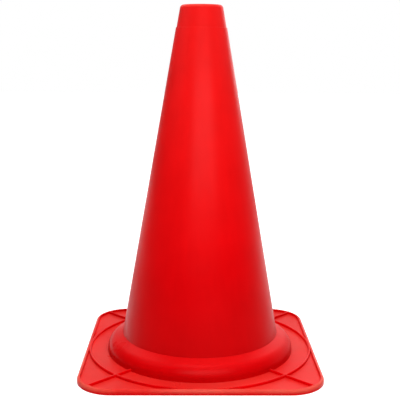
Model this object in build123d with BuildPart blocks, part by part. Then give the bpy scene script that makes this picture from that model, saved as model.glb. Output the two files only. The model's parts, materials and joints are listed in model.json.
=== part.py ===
"""Sports marker cone in millimetres: a hollow tapered body held in a square base with a rounded collar.

Z is up, the floor is at zero and the cone's axis is the Z axis.
"""
import os

from build123d import *

os.makedirs("parts", exist_ok=True)

# Cone body
overall_height = 300.0
pole_hole_diameter = 26.0  # takes a 25 mm training pole
lip_width = 4.6  # from the pole hole out to the neck, at the very top
lip_thickness = 3.0
hole_edge_radius = 0.5
top_edge_radius = 3.0
neck_height = 18.5
neck_draw = 3.3  # how much the neck narrows on its way up
neck_step = 0.5  # how far the neck stands inside the taper
foot_radius = 71.2  # where the outer taper would meet the floor
body_wall = 1.8  # measured level
body_lift = 1.2  # the body's lower edge hangs this far above the floor

# Seat between the body and the base
seat_gap = 0.1  # all round the taper
lug_gap = 0.1  # under the body's lower edge
lug_reach = 1.2
lug_angle = 14.0
lug_count = 8

# Base
collar_height = 18.0  # floor to the crease where the collar meets the body
collar_width = 10.5  # at the floor, from the taper to the outside of the collar
collar_top_slope = 25.0  # degrees down from level
collar_side_draft = 6.0  # degrees out from upright
collar_round_radius = 12.0  # between the collar's top and its side
collar_wall = 2.0
sleeve_wall = 1.8
web_thickness = 1.6
web_count = 8
base_margin = 18.3  # from the collar to the base's edge
base_corner_radius = 30.0
plate_recess = 0.6  # the plate's underside stays off the floor
plate_thickness = 1.8
rim_width = 2.8
rim_edge_radius = 2.4
rib_height = 2.2  # rim and ribs above the plate
rib_width = 2.0
rib_count = 4
first_rib_angle = 45.0  # the straight ribs run to the corners

# Sizes that follow from the ones above
pole_hole_radius = pole_hole_diameter / 2
neck_top_radius = pole_hole_radius + lip_width
neck_foot_radius = neck_top_radius + neck_draw
shoulder_radius = neck_foot_radius + neck_step
neck_foot_height = overall_height - neck_height
lip_underside = overall_height - lip_thickness
taper_slope = (foot_radius - shoulder_radius) / neck_foot_height
neck_slope = neck_draw / neck_height
collar_foot_radius = foot_radius + collar_width
collar_inside_radius = collar_foot_radius - collar_wall
base_half = collar_foot_radius + base_margin
base_side = 2 * base_half
plate_top = plate_recess + plate_thickness
rim_top = plate_top + rib_height
rib_circle_radius = base_half - rim_width
corner_centre = base_half - base_corner_radius
corner_reach = Vector(corner_centre, corner_centre).length + base_corner_radius
rib_start = collar_foot_radius - collar_wall / 2
rib_end = corner_reach - rim_width / 2
full_turn = 360.0


def taper_radius(height):
    return foot_radius - taper_slope * height


def neck_radius(height):
    return neck_top_radius + neck_slope * (overall_height - height)


def seat_radius(height):
    return taper_radius(height) + seat_gap


# The collar's top slopes down from the crease until it meets the side that comes up from the plate
crease = Vector(seat_radius(collar_height), collar_height)
collar_foot = Vector(collar_foot_radius, plate_top)
top_run = Vector(1, 0).rotate(Axis.Z, -collar_top_slope)
side_run = Vector(0, -1).rotate(Axis.Z, collar_side_draft)
top_length = (collar_foot - crease).cross(side_run).Z / top_run.cross(side_run).Z
collar_corner = crease + top_run * top_length

# Half section of everything under the collar's outside, carried on in to the axis and down below the floor
with BuildSketch() as collar_outline:
    with BuildLine():
        Polyline(
            (0, -collar_height),
            (0, collar_height),
            crease,
            collar_corner,
            collar_foot,
            (collar_foot_radius, -collar_height),
            close=True,
        )
    make_face()
    fillet(collar_outline.vertices().sort_by_distance(collar_corner).first, radius=collar_round_radius)

# Tapered body with a stepped neck and a turned-in lip around the pole hole
with BuildPart() as cone_body:
    with BuildSketch(Plane.XZ) as body_section:
        with BuildLine():
            Polyline(
                (taper_radius(body_lift), body_lift),
                (shoulder_radius, neck_foot_height),
                (neck_foot_radius, neck_foot_height),
                (neck_top_radius, overall_height),
                (pole_hole_radius, overall_height),
                (pole_hole_radius, lip_underside),
                (neck_radius(lip_underside) - body_wall, lip_underside),
                (neck_foot_radius - body_wall, neck_foot_height),
                (shoulder_radius - body_wall, neck_foot_height),
                (taper_radius(body_lift) - body_wall, body_lift),
                close=True,
            )
        make_face()
        fillet(body_section.vertices().group_by(Axis.Y)[-1].sort_by(Axis.X).last, radius=top_edge_radius)
        fillet(body_section.vertices().group_by(Axis.Y)[-1].sort_by(Axis.X).first, radius=hole_edge_radius)
    revolve(axis=Axis.Z)

# Square base: a rimmed and ribbed plate with a hollow collar and a tapered sleeve in its middle
with BuildPart() as base_plate:
    with BuildSketch(Plane.XY.offset(plate_recess)):
        RectangleRounded(base_side, base_side, base_corner_radius)
    extrude(amount=plate_thickness)

    # Raised rim around the edge, standing on the floor
    with BuildSketch():
        RectangleRounded(base_side, base_side, base_corner_radius)
        rim_inside = base_side - 2 * rim_width
        RectangleRounded(rim_inside, rim_inside, base_corner_radius - rim_width, mode=Mode.SUBTRACT)
    extrude(amount=rim_top)
    fillet(base_plate.faces().sort_by(Axis.Z).last.outer_wire().edges(), radius=rim_edge_radius)

    # Circular rib that meets the rim halfway along each side
    with BuildSketch(Plane.XY.offset(plate_recess)):
        Circle(rib_circle_radius + rib_width / 2)
        Circle(rib_circle_radius - rib_width / 2, mode=Mode.SUBTRACT)
    extrude(amount=rim_top - plate_recess)

    # Straight ribs from the collar's wall to the rim at the corners
    with BuildSketch(Plane.XY.offset(plate_recess)):
        with PolarLocations((rib_start + rib_end) / 2, rib_count, start_angle=first_rib_angle):
            Rectangle(rib_end - rib_start, rib_width)
    extrude(amount=rim_top - plate_recess)

    # Collar with its rounded outside
    with BuildSketch(Plane.XZ):
        add(collar_outline.sketch)
        with BuildLine():
            Polyline(
                (seat_radius(0), 0),
                (seat_radius(collar_height), collar_height),
                (collar_foot_radius, collar_height),
                (collar_foot_radius, 0),
                close=True,
            )
        make_face(mode=Mode.INTERSECT)
    revolve(axis=Axis.Z)

    # Tapered seat for the body, through everything in the middle
    with BuildSketch(Plane.XZ):
        with BuildLine():
            Polyline(
                (0, 0),
                (seat_radius(0), 0),
                (seat_radius(collar_height), collar_height),
                (0, collar_height),
                close=True,
            )
        make_face()
    revolve(axis=Axis.Z, mode=Mode.SUBTRACT)

    # Hollow between the sleeve and the collar's outer wall, open below
    with BuildSketch(Plane.XZ):
        add(collar_outline.sketch)
        offset(amount=-collar_wall, mode=Mode.REPLACE)
        with BuildLine():
            Polyline(
                (seat_radius(0) + sleeve_wall, 0),
                (seat_radius(collar_height) + sleeve_wall, collar_height),
                (collar_inside_radius, collar_height),
                (collar_inside_radius, 0),
                close=True,
            )
        make_face(mode=Mode.INTERSECT)
    revolve(axis=Axis.Z, mode=Mode.SUBTRACT)

    # Stiffening webs across the hollow, each run halfway into the walls around it
    with BuildPart(mode=Mode.PRIVATE) as web:
        with BuildSketch(Plane.XZ):
            add(collar_outline.sketch)
            offset(amount=-collar_wall / 2, mode=Mode.REPLACE)
            with BuildLine():
                Polyline(
                    (seat_radius(plate_recess) + sleeve_wall / 2, plate_recess),
                    (seat_radius(collar_height) + sleeve_wall / 2, collar_height),
                    (collar_foot_radius - collar_wall / 2, collar_height),
                    (collar_foot_radius - collar_wall / 2, plate_recess),
                    close=True,
                )
            make_face(mode=Mode.INTERSECT)
        extrude(amount=web_thickness / 2, both=True)
    with PolarLocations(0, web_count):
        add(web.part)

    # Snap lugs on the sleeve, which catch the body's lower edge
    with BuildPart(mode=Mode.PRIVATE) as lug:
        with BuildSketch(Plane.XZ):
            with BuildLine():
                Polyline(
                    (taper_radius(body_lift) - lug_reach, 0),
                    (seat_radius(0) + sleeve_wall / 2, 0),
                    (seat_radius(0) + sleeve_wall / 2, body_lift - lug_gap),
                    (taper_radius(body_lift) - lug_reach, body_lift - lug_gap),
                    close=True,
                )
            make_face()
        revolve(axis=Axis.Z, revolution_arc=lug_angle)
    first_lug_angle = (full_turn / lug_count - lug_angle) / 2
    with PolarLocations(0, lug_count, start_angle=first_lug_angle):
        add(lug.part)

cone_body.part.label = "cone_body"
export_step(cone_body.part, "parts/cone_body.step")

base_plate.part.label = "base_plate"
export_step(base_plate.part, "parts/base_plate.step")
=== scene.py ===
# Sports marker cone: the looks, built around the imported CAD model
import json
import math

import bmesh
import bpy
from mathutils import Matrix, Vector
from mathutils.geometry import intersect_line_line_2d

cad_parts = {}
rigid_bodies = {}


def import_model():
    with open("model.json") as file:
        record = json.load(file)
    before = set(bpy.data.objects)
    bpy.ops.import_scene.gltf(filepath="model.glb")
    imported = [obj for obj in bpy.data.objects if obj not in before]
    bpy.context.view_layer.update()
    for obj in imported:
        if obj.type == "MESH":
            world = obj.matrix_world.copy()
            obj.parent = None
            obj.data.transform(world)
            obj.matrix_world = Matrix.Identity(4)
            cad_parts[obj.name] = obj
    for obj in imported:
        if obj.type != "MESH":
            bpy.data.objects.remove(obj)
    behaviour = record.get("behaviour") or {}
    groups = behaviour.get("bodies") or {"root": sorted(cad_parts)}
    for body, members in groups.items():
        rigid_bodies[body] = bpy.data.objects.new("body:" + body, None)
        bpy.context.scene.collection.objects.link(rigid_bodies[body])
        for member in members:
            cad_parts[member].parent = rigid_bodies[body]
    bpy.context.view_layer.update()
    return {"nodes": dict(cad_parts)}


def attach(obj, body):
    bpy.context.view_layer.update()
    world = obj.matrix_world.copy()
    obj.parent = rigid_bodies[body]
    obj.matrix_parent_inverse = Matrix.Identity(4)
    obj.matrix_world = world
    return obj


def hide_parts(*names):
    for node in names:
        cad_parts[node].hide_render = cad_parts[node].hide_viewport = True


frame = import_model()
print("loaded the frame:", sorted(frame["nodes"]))

mm = 0.001
sameSpot = 0.001  # mm, points this close are one point
upAxis = (0.0, 0.0, 1.0)
fullTurn = 2 * math.pi
baseSides = 4  # the base is square, with a straight rib to each corner
quarterTurn = fullTurn / baseSides

# a Mix node has sockets of the same name for each kind of value, so they go by number
mixShare = 0
valueA, valueB, valueOut = 2, 3, 0
colourA, colourB, colourOut = 6, 7, 2


def linearColour(hexText):  # sRGB hex to the linear colour that shaders take
    channels = [int(hexText[i:i + 2], 16) / 255 for i in (1, 3, 5)]
    return [c / 12.92 if c <= 0.04045 else ((c + 0.055) / 1.055) ** 2.4 for c in channels] + [1.0]


def addNode(tree, kind, settings=None, links=None):  # settings go to properties or sockets, links to sockets
    node = tree.nodes.new(kind)
    for key, value in (settings or {}).items():
        if isinstance(key, str) and hasattr(node, key):
            setattr(node, key, value)
        else:
            node.inputs[key].default_value = value
    for key, source in (links or {}).items():
        tree.links.new(source, node.inputs[key])
    return node


# A section is drawn in mm in the XZ plane, from corners of (across, up, rounding radius)
def drawSection(bm, corners, segments=6):
    verts = [bm.verts.new((across, 0, up)) for across, up, radius in corners]
    bm.faces.new(verts)
    spots = [v.co.copy() for v in verts]
    for i, (across, up, radius) in enumerate(corners):
        if radius:
            before = (spots[i - 1] - spots[i]).normalized()
            after = (spots[(i + 1) % len(spots)] - spots[i]).normalized()
            reach = radius / math.tan(before.angle(after) / 2)
            bmesh.ops.bevel(bm, geom=[verts[i]], offset=reach, offset_type="OFFSET", affect="VERTICES",
                            segments=segments, profile=0.5, material=-1)


def keepOutline(bm):  # drops the section's face and leaves its edges
    bmesh.ops.delete(bm, geom=bm.faces[:], context="FACES_ONLY")


def turnSection(bm, steps):  # spins the section's outline right round the cone's axis
    keepOutline(bm)
    bmesh.ops.spin(bm, geom=bm.verts[:] + bm.edges[:], cent=(0, 0, 0), axis=upAxis, angle=fullTurn,
                   steps=steps, use_merge=True)


def pick(geom, kind):  # the vertices or the edges out of what an operator gives back
    return [element for element in geom if isinstance(element, kind)]


def pullOut(bm, way):  # makes a solid of the section's face
    drawn = bmesh.ops.extrude_face_region(bm, geom=bm.faces[:])["geom"]
    bmesh.ops.translate(bm, vec=way, verts=pick(drawn, bmesh.types.BMVert))


def repeatAround(bm, count):  # copies everything in bm around the cone's axis
    bmesh.ops.spin(bm, geom=bm.verts[:] + bm.edges[:] + bm.faces[:], cent=(0, 0, 0), axis=upAxis,
                   angle=fullTurn * (count - 1) / count, steps=count - 1, use_duplicate=True)


def newObject(name, bm):  # bm is in mm, the object is in metres
    bmesh.ops.remove_doubles(bm, verts=bm.verts, dist=sameSpot)
    bmesh.ops.recalc_face_normals(bm, faces=bm.faces)
    bmesh.ops.scale(bm, vec=(mm, mm, mm), verts=bm.verts)
    mesh = bpy.data.meshes.new(name)
    bm.to_mesh(mesh)
    bm.free()
    obj = bpy.data.objects.new(name, mesh)
    bpy.context.scene.collection.objects.link(obj)
    return obj


# The two mouldings meet on this taper, in mm
taper = {"footRadius": 71.2, "shoulderRadius": 21.4, "shoulderHeight": 281.5}


def taperRadius(height):
    fall = (taper["footRadius"] - taper["shoulderRadius"]) / taper["shoulderHeight"]
    return taper["footRadius"] - fall * height


coneBody = {  # mm
    "top": 300.0, "lift": 1.2, "wall": 1.8,
    "neckFoot": 20.9, "neckTop": 17.6,
    "hole": 13.0, "lip": 3.0,
    "topRound": 3.0, "holeRound": 0.5, "edgeRound": 0.3, "stepRound": 0.18, "innerRound": 1.2,
    "steps": 192,
    "tallEdge": 100.0, "tallCuts": 10,  # a longer edge of the section gets these cuts
}


def buildConeBody():
    c = coneBody
    stepHeight = taper["shoulderHeight"]
    under = c["top"] - c["lip"]
    lean = (c["neckFoot"] - c["neckTop"]) / (c["top"] - stepHeight)
    neckInside = c["neckTop"] + lean * c["lip"] - c["wall"]
    bm = bmesh.new()
    drawSection(bm, [
        (taperRadius(c["lift"]), c["lift"], c["edgeRound"]),
        (taper["shoulderRadius"], stepHeight, c["stepRound"]),
        (c["neckFoot"], stepHeight, c["stepRound"]),
        (c["neckTop"], c["top"], c["topRound"]),
        (c["hole"], c["top"], c["holeRound"]),
        (c["hole"], under, c["edgeRound"]),
        (neckInside, under, c["innerRound"]),
        (c["neckFoot"] - c["wall"], stepHeight, 0),
        (taper["shoulderRadius"] - c["wall"], stepHeight, 0),
        (taperRadius(c["lift"]) - c["wall"], c["lift"], c["edgeRound"]),
    ])
    keepOutline(bm)
    tall = [e for e in bm.edges if e.calc_length() > c["tallEdge"]]
    bmesh.ops.subdivide_edges(bm, edges=tall, cuts=c["tallCuts"])
    turnSection(bm, c["steps"])
    return newObject("cone_body_moulding", bm)


basePlate = {  # mm, and degrees for the collar's slope and draft and the lugs' angle
    "half": 100.0, "corner": 30.0,
    "recess": 0.6, "plateTop": 2.4, "rimTop": 4.6,
    "rimWidth": 2.8, "rimRound": 2.4, "rimInnerRound": 0.35, "footRound": 0.3,
    "ribWidth": 2.0, "ribRound": 0.85, "ribCircle": 97.2,
    "ribDrop": 0.04, "ribSink": 0.9, "ribRoot": 1.3,  # below the rim's top, into the plate, into the collar
    "collarHeight": 18.0, "collarFoot": 81.7, "collarWall": 2.0,
    "collarSlope": 25.0, "collarDraft": 6.0, "collarRound": 12.0,
    "collarSink": 0.9,  # the collar's side runs this far down into the plate, so that the two join cleanly
    "seatGap": 0.1, "sleeveWall": 1.8,
    "webs": 8, "webThickness": 1.6,
    "lugs": 8, "lugAngle": 14.0, "lugTop": 1.1, "lugReach": 1.2, "lugFoot": 0.1,
    "sideSteps": 14, "cornerSteps": 26, "turnSteps": 192, "roundSteps": 16, "lugSteps": 6,
    "sweepGap": 0.01,  # the rim's two ends meet within this once it has run right round
    "bridgeLift": 20.0,  # loops in one plane can join twisted, so the inner one is lifted while they join
}


def seatRadius(height):
    return taperRadius(height) + basePlate["seatGap"]


def collarEdge(depth, offSleeve):  # corners of the collar's outside, or of a line this deep inside it
    b = basePlate
    slope, draft = math.radians(b["collarSlope"]), math.radians(b["collarDraft"])
    topWay = Vector((math.cos(slope), -math.sin(slope)))
    sideWay = Vector((math.sin(draft), -math.cos(draft)))
    far = b["half"]
    crease = Vector((seatRadius(b["collarHeight"]), b["collarHeight"]))
    foot = Vector((b["collarFoot"], b["plateTop"]))
    corner = intersect_line_line_2d(crease, crease + topWay * far, foot, foot - sideWay * far)
    outwards = topWay.orthogonal() + sideWay.orthogonal()
    corner -= outwards * depth / (1 + topWay.dot(sideWay))
    sleeve = [Vector((seatRadius(height) + offSleeve, height)) for height in (0, 2 * b["collarHeight"])]
    start = intersect_line_line_2d(corner - topWay * far, corner, sleeve[0], sleeve[1])
    low = b["plateTop"] - b["collarSink"]
    wall = (corner.x + (corner.y - low) * math.tan(draft), low)
    return [(*start, 0), (*corner, b["collarRound"] - depth), (*wall, 0)]


def buildCollar():
    b = basePlate
    bm = bmesh.new()
    inside = b["collarFoot"] - b["collarWall"]
    ground = [(across, 0, 0) for across in
              (b["collarFoot"], inside, seatRadius(0) + b["sleeveWall"], seatRadius(0))]
    hollow = collarEdge(b["collarWall"], b["sleeveWall"])
    drawSection(bm, collarEdge(0, 0) + ground[:2] + hollow[::-1] + ground[2:], b["roundSteps"])
    turnSection(bm, b["turnSteps"])
    return newObject("base_plate_moulding", bm)


def buildWebs():  # each runs halfway into the walls around it
    b = basePlate
    bm = bmesh.new()
    wallMiddle = b["collarFoot"] - b["collarWall"] / 2
    sleeveMiddle = seatRadius(b["recess"]) + b["sleeveWall"] / 2
    drawSection(bm, collarEdge(b["collarWall"] / 2, b["sleeveWall"] / 2) + [
        (wallMiddle, b["recess"], 0), (sleeveMiddle, b["recess"], 0)])
    bmesh.ops.translate(bm, vec=(0, -b["webThickness"] / 2, 0), verts=bm.verts)
    pullOut(bm, (0, b["webThickness"], 0))
    repeatAround(bm, b["webs"])
    return newObject("webs", bm)


def buildLugs():
    b = basePlate
    bm = bmesh.new()
    inner = taperRadius(coneBody["lift"]) - b["lugReach"]
    outer = seatRadius(0) + b["sleeveWall"] / 2
    drawSection(bm, [(inner, b["lugFoot"], 0), (outer, b["lugFoot"], 0), (outer, b["lugTop"], 0),
                     (inner, b["lugTop"], 0)])
    half = math.radians(b["lugAngle"]) / 2
    between = math.pi / b["lugs"]
    bmesh.ops.rotate(bm, cent=(0, 0, 0), matrix=Matrix.Rotation(between - half, 3, "Z"), verts=bm.verts)
    bmesh.ops.spin(bm, geom=bm.faces[:], cent=(0, 0, 0), axis=upAxis, angle=2 * half, steps=b["lugSteps"])
    repeatAround(bm, b["lugs"])
    return newObject("lugs", bm)


def buildPlate():  # the rim's section runs round the rounded square, then the plate fills what is inside it
    b = basePlate
    bm = bmesh.new()
    out, inn = b["half"], b["half"] - b["rimWidth"]
    drawSection(bm, [
        (inn, b["plateTop"], 0), (inn, b["recess"], 0), (inn, 0, 0),
        (out, 0, b["footRound"]), (out, b["rimTop"], b["rimRound"]), (inn, b["rimTop"], b["rimInnerRound"]),
    ])
    keepOutline(bm)

    # the rim's inner face is left open where the plate joins it
    innerFace = [e for e in bm.edges if all(abs(v.co.x - inn) < sameSpot for v in e.verts)]
    opened = [e for e in innerFace if b["recess"] < sum(v.co.z for v in e.verts) / 2 < b["plateTop"]]
    bmesh.ops.delete(bm, geom=opened, context="EDGES")

    turnAt = b["half"] - b["corner"]
    bmesh.ops.translate(bm, vec=(0, -turnAt, 0), verts=bm.verts)
    edges = bm.edges[:]
    for side in range(baseSides):
        heading = Matrix.Rotation(side * quarterTurn, 3, "Z")
        along = heading @ Vector((0, 2 * turnAt / b["sideSteps"], 0))
        for step in range(b["sideSteps"]):
            grown = bmesh.ops.extrude_edge_only(bm, edges=edges)["geom"]
            edges = pick(grown, bmesh.types.BMEdge)
            bmesh.ops.translate(bm, vec=along, verts=pick(grown, bmesh.types.BMVert))
        swept = bmesh.ops.spin(bm, geom=edges, cent=heading @ Vector((turnAt, turnAt, 0)), axis=upAxis,
                               angle=quarterTurn, steps=b["cornerSteps"])
        edges = pick(swept["geom_last"], bmesh.types.BMEdge)
    bmesh.ops.remove_doubles(bm, verts=bm.verts, dist=b["sweepGap"])

    # the plate's two faces run in to rings inside the collar's wall, and the rings are joined
    ringRadius = b["collarFoot"] - b["collarWall"] / 2
    rings = []
    for height in (b["plateTop"], b["recess"]):
        square = [e for e in bm.edges if e.is_boundary and abs(e.verts[0].co.z - height) < sameSpot]
        lifted = Matrix.Translation((0, 0, height + b["bridgeLift"]))
        ring = bmesh.ops.create_circle(bm, segments=len(square), radius=ringRadius, matrix=lifted)["verts"]
        hoop = list({e for v in ring for e in v.link_edges})
        bmesh.ops.bridge_loops(bm, edges=square + hoop)
        bmesh.ops.translate(bm, vec=(0, 0, -b["bridgeLift"]), verts=ring)
        rings += hoop
    bmesh.ops.bridge_loops(bm, edges=rings)
    return newObject("plate", bm)


def ribSection(bm):  # across is measured from the rib's middle
    b = basePlate
    w, low, high = b["ribWidth"] / 2, b["plateTop"] - b["ribSink"], b["rimTop"] - b["ribDrop"]
    drawSection(bm, [(-w, low, 0), (w, low, 0), (w, high, b["ribRound"]), (-w, high, b["ribRound"])])


def buildRoundRib():
    bm = bmesh.new()
    ribSection(bm)
    bmesh.ops.translate(bm, vec=(basePlate["ribCircle"], 0, 0), verts=bm.verts)
    turnSection(bm, basePlate["turnSteps"])
    return newObject("roundRib", bm)


def buildStraightRibs():
    b = basePlate
    bm = bmesh.new()
    ribSection(bm)
    start = b["collarFoot"] - b["ribRoot"]
    end = (b["half"] - b["corner"]) * math.sqrt(2) + b["corner"] - b["rimWidth"] / 2
    bmesh.ops.translate(bm, vec=(0, start, 0), verts=bm.verts)
    pullOut(bm, (0, end - start, 0))
    toCorner = Matrix.Rotation(quarterTurn / 2, 3, "Z")
    bmesh.ops.rotate(bm, cent=(0, 0, 0), matrix=toCorner, verts=bm.verts)
    repeatAround(bm, baseSides)
    return newObject("straightRibs", bm)


def unite(target, others):  # joins the moulded features one by one into one closed skin
    for other in others:
        union = target.modifiers.new(other.name, "BOOLEAN")
        union.operation, union.solver, union.object = "UNION", "EXACT", other
        bpy.context.view_layer.update()
        graph = bpy.context.evaluated_depsgraph_get()
        whole = bpy.data.meshes.new_from_object(target.evaluated_get(graph))
        bm = bmesh.new()
        bm.from_mesh(whole)
        bmesh.ops.remove_doubles(bm, verts=bm.verts, dist=sameSpot * mm)
        bm.to_mesh(whole)
        bm.free()
        target.modifiers.clear()
        target.data = whole
        bpy.data.objects.remove(other)


smoothUpTo = 32.0  # degrees, edges that turn by more stay sharp


def smoothSkin(obj):  # round where the moulding is round, with flat faces kept flat
    obj.data.shade_smooth()
    obj.data.set_sharp_from_angle(angle=math.radians(smoothUpTo))
    weighted = obj.modifiers.new("evenNormals", "WEIGHTED_NORMAL")
    weighted.keep_sharp = True


bodyPiece = buildConeBody()
print("turned the cone body:", len(bodyPiece.data.polygons), "faces")

basePiece = buildCollar()
unite(basePiece, [buildWebs(), buildLugs(), buildPlate(), buildRoundRib(), buildStraightRibs()])
print("joined the base:", len(basePiece.data.polygons), "faces")

for piece, node in ((bodyPiece, "cone_body"), (basePiece, "base_plate")):
    smoothSkin(piece)
    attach(piece, "root")
    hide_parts(node)

# Injection-moulded low-density polyethylene: one even red right through, with a satin skin that is slightly
# wavy and finely grained from the mould. The rim and the lip are rubbed paler, with a painted highlight in
# that paleness, what lies flat has a trace of dust with a painted sheen in it, the red is painted paler
# towards the top as a sheen, and what stands up carries painted shade, darker towards the floor
moulded = {  # a span is the part of a noise's range that is used
    "red": "#E60208", "deepRed": "#DC0106",
    "gloss": 0.045, "ior": 1.51,  # the grained skin shines much less than polished plastic
    "mottle": 34.0, "cloudSpan": (0.35, 0.65), "cloudShare": 0.65,  # mm, clouds in the pigment
    "streakAcross": 5.0, "streakAlong": 90.0,  # mm, streaks in it
    "streakSpan": (0.3, 0.7), "streakShare": 0.35,
    "wave": 26.0, "waveDepth": 0.10,  # mm
    "grain": 0.9, "grainDepth": 0.006,  # mm, about three times as coarse as the mould's, so that it shows
    "handled": 55.0, "handledSpan": (0.3, 0.7),  # mm, patches that hands have smoothed
    "roughLow": 0.26, "roughHigh": 0.44,
    # rubbed wear, with a painted highlight in it: its colour and its patches
    "rubbedAndHighlit": "#EE6A58", "rubAndHighlightPatch": 110.0, "rubAndHighlightSpan": (0.38, 0.62), "rubAndHighlightLeast": 0.15, "rubAndHighlightMost": 0.95,
    "rubAndHighlightRim": (2.6, 1.3),  # mm in from the base's edge, where the rubbing and its painted highlight begin and where they are full
    "rubAndHighlightTop": (3.6, 1.2),  # the same, in mm below the rim's top
    "rubAndHighlightLip": 2.8,  # mm below the cone's top
    # dust, with a painted sheen on what lies flat in it
    "dustAndSheen": "#D8C8AE", "dustAndSheenPatch": 80.0, "dustAndSheenSpan": (0.35, 0.65), "dustAndSheenLeast": 0.015, "dustAndSheenMost": 0.055,
    "dustAndSheenSlope": 0.9,  # dust with painted sheen lies on faces that look up at least this much
    "wearAndSheenShift": (1300.0, 0.0, 0.0),  # mm, picks the stretch of noise that rubbing and dust take, and so where their painted highlight and sheen fall
    "paintedTopSheenFrom": 80.0, "paintedTopSheenMost": 0.014,  # mm, from here up the red is slightly paler: a painted sheen
    # painted shade: a darker red over upright faces, most at the floor
    "paintedShade": "#8A0606", "paintedShadeTo": 110.0, "paintedShadeMost": 0.31,  # mm, the painted shade is most at the floor and none above this
    "paintedShadeUpright": 0.2, "paintedShadeLying": 0.85,  # how far up a face looks: all of it, and none
    "paintedShadeEdge": 0.2,  # mm, over which it ends outside the collar's foot
}


def buildMoulded():
    m = moulded
    b = basePlate
    material = bpy.data.materials.new("mouldedPolyethylene")
    material.use_nodes = True
    tree = material.node_tree
    tree.nodes.clear()
    coords = addNode(tree, "ShaderNodeTexCoord").outputs
    place = coords["Object"]
    height = addNode(tree, "ShaderNodeSeparateXYZ", links={"Vector": place}).outputs["Z"]
    facing = addNode(tree, "ShaderNodeSeparateXYZ", links={"Vector": coords["Normal"]}).outputs["Z"]

    # streaks run up the cone as the melt did
    stretch = (1, 1, m["streakAcross"] / m["streakAlong"])
    upward = addNode(tree, "ShaderNodeMapping", {"Scale": stretch}, {"Vector": place}).outputs["Vector"]
    # rubbing and dust, which carry a painted highlight and sheen, take a shifted stretch of noise
    shift = Vector(m["wearAndSheenShift"]) * mm
    wearAndSheenPlace = addNode(tree, "ShaderNodeMapping", {"Location": shift}, {"Vector": place}).outputs["Vector"]
    noise = {}
    for name, size, detail, vector in (
            ("cloud", m["mottle"], 2, place), ("streak", m["streakAcross"], 3, upward),
            ("rubAndHighlight", m["rubAndHighlightPatch"], 5, wearAndSheenPlace), ("dustAndSheen", m["dustAndSheenPatch"], 5, wearAndSheenPlace),
            ("handling", m["handled"], 3, place),
            ("wave", m["wave"], 1, place), ("grain", m["grain"], 2, place)):
        noise[name] = addNode(tree, "ShaderNodeTexNoise", {"Scale": 1 / (size * mm), "Detail": detail},
                              {"Vector": vector}).outputs["Fac"]

    # how far out on the base a point lies: this is the corner radius all along the edge
    middle = (b["half"] - b["corner"]) * mm
    plan = addNode(tree, "ShaderNodeVectorMath", {"operation": "MULTIPLY", 1: (1, 1, 0)},
                   {0: place}).outputs[0]
    past = plan
    for operation, value in (
            ("ABSOLUTE", (0, 0, 0)), ("SUBTRACT", (middle, middle, 0)), ("MAXIMUM", (0, 0, 0))):
        past = addNode(tree, "ShaderNodeVectorMath", {"operation": operation, 1: value},
                       {0: past}).outputs[0]
    reach, radius = [
        addNode(tree, "ShaderNodeVectorMath", {"operation": "LENGTH"}, {0: source}).outputs["Value"]
        for source in (past, plan)]

    # each of these goes from its own range to the strength it is used at
    edge, rimTop, lipTop = b["corner"] * mm, b["rimTop"] * mm, coneBody["top"] * mm
    collarFoot = b["collarFoot"] * mm
    rimFrom, rimFull = [edge - inwards * mm for inwards in m["rubAndHighlightRim"]]
    topFrom, topFull = [rimTop - down * mm for down in m["rubAndHighlightTop"]]
    level = {}
    for name, source, low, high, least, most in (
            ("cloud", noise["cloud"], *m["cloudSpan"], 0, m["cloudShare"]),
            ("streak", noise["streak"], *m["streakSpan"], 0, m["streakShare"]),
            ("rim", reach, rimFrom, rimFull, 0, 1),
            ("rimTop", height, topFrom, topFull, 0, 1),
            ("lip", height, lipTop - m["rubAndHighlightLip"] * mm, lipTop, 0, 1),
            # rubbed patches, with a painted highlight in them
            ("rubAndHighlight", noise["rubAndHighlight"], *m["rubAndHighlightSpan"], m["rubAndHighlightLeast"], m["rubAndHighlightMost"]),
            # dust patches, with a painted sheen in them
            ("dustAndSheen", noise["dustAndSheen"], *m["dustAndSheenSpan"], m["dustAndSheenLeast"], m["dustAndSheenMost"]),
            ("flat", facing, m["dustAndSheenSlope"], 1, 0, 1),
            # the painted shade, most at the floor
            ("paintedShade", height, 0, m["paintedShadeTo"] * mm, m["paintedShadeMost"], 0),
            ("nearCone", radius, collarFoot, collarFoot + m["paintedShadeEdge"] * mm, 1, 0),
            ("upright", facing, m["paintedShadeUpright"], m["paintedShadeLying"], 1, 0),
            # a painted sheen, paler towards the top
            ("paintedTopSheen", height, m["paintedTopSheenFrom"] * mm, lipTop, 0, m["paintedTopSheenMost"]),
            ("rough", noise["handling"], *m["handledSpan"], m["roughLow"], m["roughHigh"])):
        level[name] = addNode(tree, "ShaderNodeMapRange", {"From Min": low, "From Max": high,
                              "To Min": least, "To Max": most}, {"Value": source}).outputs["Result"]
    for name, operation, first, second in (
            ("pigment", "ADD", "cloud", "streak"), ("rimEdge", "MULTIPLY", "rim", "rimTop"),
            # the rubbed edges, with their painted highlight
            ("edges", "MAXIMUM", "rimEdge", "lip"), ("rubbedAndHighlit", "MULTIPLY", "edges", "rubAndHighlight"),
            # dust with its painted sheen on what lies flat, and the painted paler top
            ("dustAndSheenOnFlat", "MULTIPLY", "flat", "dustAndSheen"), ("pale", "ADD", "dustAndSheenOnFlat", "paintedTopSheen"),
            # the painted shade, on upright faces only
            ("low", "MULTIPLY", "paintedShade", "nearCone"), ("paintedShadeShare", "MULTIPLY", "low", "upright")):
        level[name] = addNode(tree, "ShaderNodeMath", {"operation": operation},
                              {0: level[first], 1: level[second]}).outputs[0]

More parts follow.
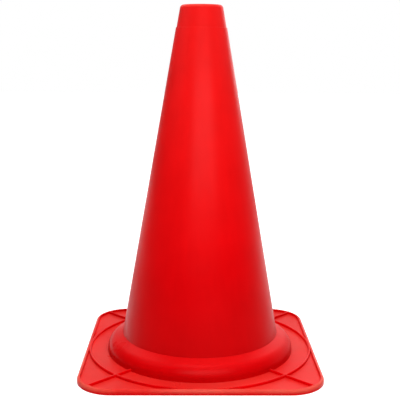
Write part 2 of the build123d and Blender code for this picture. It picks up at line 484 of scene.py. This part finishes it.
    # pigment first, then the painted shade, the rubbed edges with their painted highlight, and the dust with
    # its painted sheen and the painted paler top over it
    colour = addNode(tree, "ShaderNodeMix", {"data_type": "RGBA", colourA: linearColour(m["deepRed"]),
                     colourB: linearColour(m["red"])}, {mixShare: level["pigment"]}).outputs[colourOut]
    for over, amount in (("paintedShade", "paintedShadeShare"), ("rubbedAndHighlit", "rubbedAndHighlit"), ("dustAndSheen", "pale")):
        colour = addNode(tree, "ShaderNodeMix", {"data_type": "RGBA", colourB: linearColour(m[over])},
                         {mixShare: level[amount], colourA: colour}).outputs[colourOut]

    # the mould's slow waves, with fine grain on top of them
    waves = addNode(tree, "ShaderNodeBump", {"Distance": m["waveDepth"] * mm}, {"Height": noise["wave"]})
    grain = addNode(tree, "ShaderNodeBump", {"Distance": m["grainDepth"] * mm},
                    {"Height": noise["grain"], "Normal": waves.outputs["Normal"]})

    shader = addNode(tree, "ShaderNodeBsdfPrincipled", {"IOR": m["ior"], "Specular IOR Level": m["gloss"]}, {
        "Base Color": colour, "Roughness": level["rough"], "Normal": grain.outputs["Normal"]})
    addNode(tree, "ShaderNodeOutputMaterial", links={"Surface": shader.outputs["BSDF"]})
    return material


skin = buildMoulded()
for piece in (bodyPiece, basePiece):
    piece.data.materials.clear()
    piece.data.materials.append(skin)
print("made the moulded skin")

# The photograph's view: mm from the cone's axis and the floor, turns in radians, focal length in pixels
camera = {
    "away": 686.9, "height": 266.0, "aside": -0.5,
    "pitch": 0.1878, "roll": 0.0057, "yaw": 0.0114,
    "focal": 807.7, "image": 400.0, "sensor": 36.0,
}


def buildCamera():
    c = camera
    data = bpy.data.cameras.new("photoView")
    data.sensor_width = c["sensor"]
    data.lens = c["focal"] / c["image"] * c["sensor"]
    obj = bpy.data.objects.new("photoView", data)
    bpy.context.scene.collection.objects.link(obj)
    around = Matrix.Rotation(-c["yaw"], 4, "Z")
    place = Matrix.Translation(Vector((c["aside"], -c["away"], c["height"])) * mm)
    tilt = Matrix.Rotation(quarterTurn - c["pitch"], 4, "X") @ Matrix.Rotation(c["roll"], 4, "Z")
    obj.matrix_world = around @ place @ tilt
    bpy.context.scene.camera = obj


buildCamera()

# A pale matt floor that the camera sees as white, with the object's shadow left on it
studio = {
    "floor": "#D8D8D8", "floorHalf": 4000.0,  # mm
    "glowNear": 0.68, "glowFar": 1.0, "near": 300.0, "far": 1000.0,  # the floor's glow at two distances, mm
    "sky": "#FFFFFF", "skyShown": 1.0,  # what the camera sees
    "behind": 2.1, "turn": 12.0, "narrow": 2.0,  # light from behind: strength, degrees right, how it fades
    "mirrorNarrow": 1.5,  # its reflection is no brighter than white and fades faster by this power
}


def whiteRays(tree):  # Light Path's marks for the rays that are shown a white background
    path = addNode(tree, "ShaderNodeLightPath").outputs
    straight = addNode(tree, "ShaderNodeMath", {"operation": "MAXIMUM"},
                       {0: path["Is Camera Ray"], 1: path["Is Transmission Ray"]}).outputs[0]
    return straight, path["Is Glossy Ray"]


def buildFloor():
    s = studio
    bm = bmesh.new()
    bmesh.ops.create_grid(bm, x_segments=1, y_segments=1, size=s["floorHalf"])
    floor = newObject("floor", bm)
    material = bpy.data.materials.new("paleFloor")
    material.use_nodes = True
    tree = material.node_tree
    tree.nodes.clear()
    place = addNode(tree, "ShaderNodeTexCoord").outputs["Object"]
    away = addNode(tree, "ShaderNodeVectorMath", {"operation": "LENGTH"}, {0: place}).outputs["Value"]
    level = addNode(tree, "ShaderNodeMapRange", {"From Min": s["near"] * mm, "From Max": s["far"] * mm,
                    "To Min": s["glowNear"], "To Max": s["glowFar"]}, {"Value": away}).outputs["Result"]
    straight, glossy = whiteRays(tree)
    white = addNode(tree, "ShaderNodeMath", {"operation": "MAXIMUM"}, {0: straight, 1: glossy}).outputs[0]
    strength = addNode(tree, "ShaderNodeMath", {"operation": "MULTIPLY"}, {0: white, 1: level}).outputs[0]
    glow = addNode(tree, "ShaderNodeEmission", links={"Strength": strength}).outputs[0]
    matt = addNode(tree, "ShaderNodeBsdfDiffuse", {"Color": linearColour(s["floor"])}).outputs[0]
    both = addNode(tree, "ShaderNodeAddShader", links={0: matt, 1: glow}).outputs[0]
    addNode(tree, "ShaderNodeOutputMaterial", links={"Surface": both})
    floor.data.materials.append(material)


buildFloor()


def buildWorld():  # light from behind the object and a dark room on the camera's side, white to look at
    s = studio
    world = bpy.data.worlds.new("studio")
    bpy.context.scene.world = world
    world.use_nodes = True
    tree = world.node_tree
    tree.nodes.clear()
    look = addNode(tree, "ShaderNodeTexCoord").outputs["Generated"]
    turn = math.radians(s["turn"])
    lightWay = (math.sin(turn), math.cos(turn), 0)
    fade = addNode(tree, "ShaderNodeVectorMath", {"operation": "DOT_PRODUCT", 1: lightWay},
                   {0: look}).outputs["Value"]
    for operation, value in (("MAXIMUM", 0.0), ("POWER", s["narrow"])):
        fade = addNode(tree, "ShaderNodeMath", {"operation": operation, 1: value}, {0: fade}).outputs[0]
    light, mirrored = [
        addNode(tree, "ShaderNodeMath", {"operation": operation, 1: value}, {0: fade}).outputs[0]
        for operation, value in (("MULTIPLY", s["behind"]), ("POWER", s["mirrorNarrow"]))]
    straight, glossy = whiteRays(tree)
    bounced = addNode(tree, "ShaderNodeMix", links={mixShare: glossy, valueA: light, valueB: mirrored})
    shown = addNode(tree, "ShaderNodeMix", {valueB: s["skyShown"]},
                    {mixShare: straight, valueA: bounced.outputs[valueOut]})
    sky = addNode(tree, "ShaderNodeBackground", {"Color": linearColour(s["sky"])},
                  {"Strength": shown.outputs[valueOut]}).outputs[0]
    addNode(tree, "ShaderNodeOutputWorld", links={"Surface": sky})


buildWorld()

# Softboxes: angle round from the camera's side, angle up, distance, width and height in mm, and watts
lamps = {
    "frontKey": {"around": 6, "up": 22, "away": 430, "size": (400, 170), "watts": 1.42},
    "topSoft": {"around": 0, "up": 81, "away": 600, "size": (420, 420), "watts": 1.8},
    "rearRight": {"around": 135, "up": 45, "away": 800, "size": (500, 500), "watts": 0.7},
    "rearLeft": {"around": -135, "up": 45, "away": 800, "size": (500, 500), "watts": 1.4},
    "rearTop": {"around": 180, "up": 60, "away": 800, "size": (500, 500), "watts": 0.3},
    "rearLow": {"around": 148, "up": 20, "away": 900, "size": (500, 500), "watts": 1.4},
    "sideRight": {"around": 80, "up": 42, "away": 420, "size": (300, 300), "watts": 0.24},
    "sideLeft": {"around": -80, "up": 42, "away": 420, "size": (300, 300), "watts": 0.34},
}
lampAim = Vector((0, 0, 150)) * mm  # the middle of the cone


def buildLamps():
    for name, lamp in lamps.items():
        data = bpy.data.lights.new(name, "AREA")
        data.shape, data.energy = "RECTANGLE", lamp["watts"]
        data.size, data.size_y = lamp["size"][0] * mm, lamp["size"][1] * mm
        obj = bpy.data.objects.new(name, data)
        bpy.context.scene.collection.objects.link(obj)
        around, up = math.radians(lamp["around"]), math.radians(lamp["up"])
        toLamp = Vector((math.sin(around) * math.cos(up), -math.cos(around) * math.cos(up), math.sin(up)))
        obj.location = lampAim + toLamp * lamp["away"] * mm
        obj.rotation_euler = (-toLamp).to_track_quat("-Z", "Y").to_euler()
        obj.visible_camera = False


buildLamps()
bpy.context.scene.view_settings.view_transform = "Standard"
print("set the stage")
